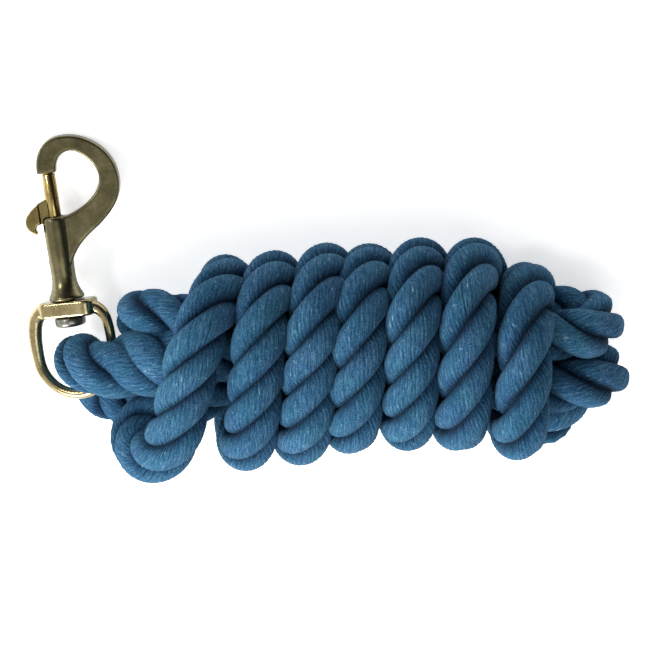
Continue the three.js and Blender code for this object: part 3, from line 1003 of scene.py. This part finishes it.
def bar_shape():
    """The eye's bar, a rounded block that lies across the barrel's foot."""
    half, corner, depth = BAR["half_width"], BAR["corner"], BAR["depth"] / 2
    x, z = half - corner, depth - corner
    outline = (
        arc(x, -z, corner, -90, 0, 7) + arc(x, z, corner, 0, 90, 7)
        + arc(-x, z, corner, 90, 180, 7) + arc(-x, -z, corner, 180, 270, 7))
    bar = eased(prism(outline, BAR["height"]), BAR_EDGE, 4)
    middle = Matrix.Translation((0, -GAP - BAR["height"] / 2, 0))
    turn = middle @ Matrix.Rotation(math.radians(90), 4, "X")
    bmesh.ops.transform(bar, matrix=turn, verts=bar.verts)
    return bar


def wire_shape():
    """The eye's bent wire, thickest where it grows out of the bar."""
    points = EYE_SHOULDER + arc(0, EYE_ARC_Y, EYE_ARC_R, 180, 360, 11)
    points += [(-x, y) for x, y in reversed(EYE_SHOULDER)]
    thick = np.interp(np.linspace(0, 1, len(points)), EYE_SHARES, EYE_WIRE_R)
    line = curve_through(
        np.array([(x, y, 0.0, r, 0.0) for (x, y), r in zip(points, thick)]), EYE_WIRE_STEP)
    vertices, faces = tube_mesh(line[:, :3], line[:, 3], EYE_WIRE_SIDES)
    wire = bmesh.new()
    corners = [wire.verts.new(v) for v in vertices]
    for face in faces:
        wire.faces.new([corners[i] for i in face])
    bmesh.ops.recalc_face_normals(wire, faces=wire.faces)
    return wire


def make_swivel_eye(material):
    body = combined(to_object("eye_ring", bar_shape()), [wire_shape()], "UNION")
    combined(body, [drill(BAR_BORE_R, -9, 1)], "DIFFERENCE")
    cast(body, 0.2, 5)
    return place_metal(body, EYE_FRAME, "eye", material, "eye_brass", "swivel_eye")


def make_snap():
    """Makes each piece with its metal: three colours, roughness, and its marks' scale and depth."""
    make_casting(metal_material(
        "cast_brass", (0.062, 0.054, 0.028), (0.115, 0.1, 0.052), (0.185, 0.165, 0.09),
        0.3, 5.0, 0.00005, wear=0.8))
    make_bolt(metal_material(
        "polished_brass", (0.26, 0.18, 0.055), (0.42, 0.31, 0.11), (0.6, 0.47, 0.2),
        0.17, 3.0, 0.00001, lengthwise=(0.3, 4, 0.3)))
    make_knob(metal_material(
        "knob_brass", (0.14, 0.11, 0.04), (0.24, 0.19, 0.075), (0.36, 0.29, 0.125),
        0.25, 5.0, 0.00002, wear=0.7))
    make_rivet(metal_material(
        "rivet_steel", (0.12, 0.12, 0.1), (0.2, 0.2, 0.17), (0.32, 0.31, 0.27), 0.32, 5.0, 0.00002))
    make_spring(metal_material(
        "spring_steel", (0.4, 0.4, 0.4), (0.55, 0.55, 0.55), (0.7, 0.7, 0.7), 0.3, 6.0, 0.00001))
    make_swivel_eye(metal_material(
        "eye_brass", (0.17, 0.12, 0.055), (0.35, 0.29, 0.15), (0.56, 0.48, 0.27),
        0.2, 4.0, 0.00001, wear=0.4))


make_snap()


# Floor and light ---------------------------------------------------------------------------------


FLOOR_HALF = 3.0
FLOOR_PAINT = (0.93, 0.93, 0.93, 1.0)
FLOOR_GLOW = 0.62


def make_stage():
    half = FLOOR_HALF
    corners = [(-half, -half, 0), (half, -half, 0), (half, half, 0), (-half, half, 0)]
    floor = mesh_object("floor", corners, [(0, 1, 2, 3)])
    n = Nodes("floor_paint")
    n.set(n.shader.inputs["Base Color"], FLOOR_PAINT)
    n.set(n.shader.inputs["Roughness"], 0.9)
    n.set(n.shader.inputs["Specular IOR Level"], 0.1)
    n.set(n.shader.inputs["Emission Color"], (1.0, 1.0, 1.0, 1.0))
    n.set(n.shader.inputs["Emission Strength"], FLOOR_GLOW)
    floor.data.materials.append(n.material)


# The room's light by direction: bright from the near left, dim from the far right, and a pale wall all
# round the horizon.
FAR_RIGHT = (0.66, 0.75, 0.0)
WORLD_FADE = {"From Min": -0.5, "From Max": 0.4, "To Min": 0.85, "To Max": 0.03}
HORIZON_BAND = {"From Min": 0.16, "From Max": 0.3, "To Min": 0.8, "To Max": 0.0}

# Lamps as (name, place in metres, size, power), all aimed at AIM.
LAMPS = [
    ("key", (-0.9, -1.05, 1.0), 0.8, 34.0),
    ("fill", (0.3, -0.3, 1.7), 1.2, 7.0),
    ("glint", (-1.1, 0.45, 1.0), 0.22, 5.5),
]
AIM = Vector((0.0, 0.0, 0.03))


def area_light(name, place, size, power):
    data = bpy.data.lights.new(name, "AREA")
    data.shape, data.size, data.energy = "DISK", size, power
    light = linked(name, data)
    light.location = place
    light.rotation_euler = (AIM - Vector(place)).to_track_quat("-Z", "Y").to_euler()


def make_light():
    world = bpy.data.worlds.new("studio")
    world.use_nodes = True
    tree = world.node_tree
    background = tree.nodes["Background"]
    background.inputs["Color"].default_value = (1.0, 1.0, 1.0, 1.0)
    towards = tree.nodes.new("ShaderNodeTexCoord")
    away = tree.nodes.new("ShaderNodeVectorMath")
    away.operation = "DOT_PRODUCT"
    away.inputs[1].default_value = FAR_RIGHT
    up = tree.nodes.new("ShaderNodeSeparateXYZ")
    fade = tree.nodes.new("ShaderNodeMapRange")
    band = tree.nodes.new("ShaderNodeMapRange")
    lighter = tree.nodes.new("ShaderNodeMath")
    lighter.operation = "MAXIMUM"
    tree.links.new(towards.outputs["Generated"], away.inputs[0])
    tree.links.new(towards.outputs["Generated"], up.inputs[0])
    tree.links.new(away.outputs["Value"], fade.inputs["Value"])
    tree.links.new(up.outputs["Z"], band.inputs["Value"])
    for node, settings in ((fade, WORLD_FADE), (band, HORIZON_BAND)):
        for name, value in settings.items():
            node.inputs[name].default_value = value
    tree.links.new(fade.outputs["Result"], lighter.inputs[0])
    tree.links.new(band.outputs["Result"], lighter.inputs[1])
    tree.links.new(lighter.outputs["Value"], background.inputs["Strength"])
    scene = bpy.context.scene
    scene.world = world
    scene.view_settings.view_transform = "Standard"
    for lamp in LAMPS:
        area_light(*lamp)


make_stage()
make_light()
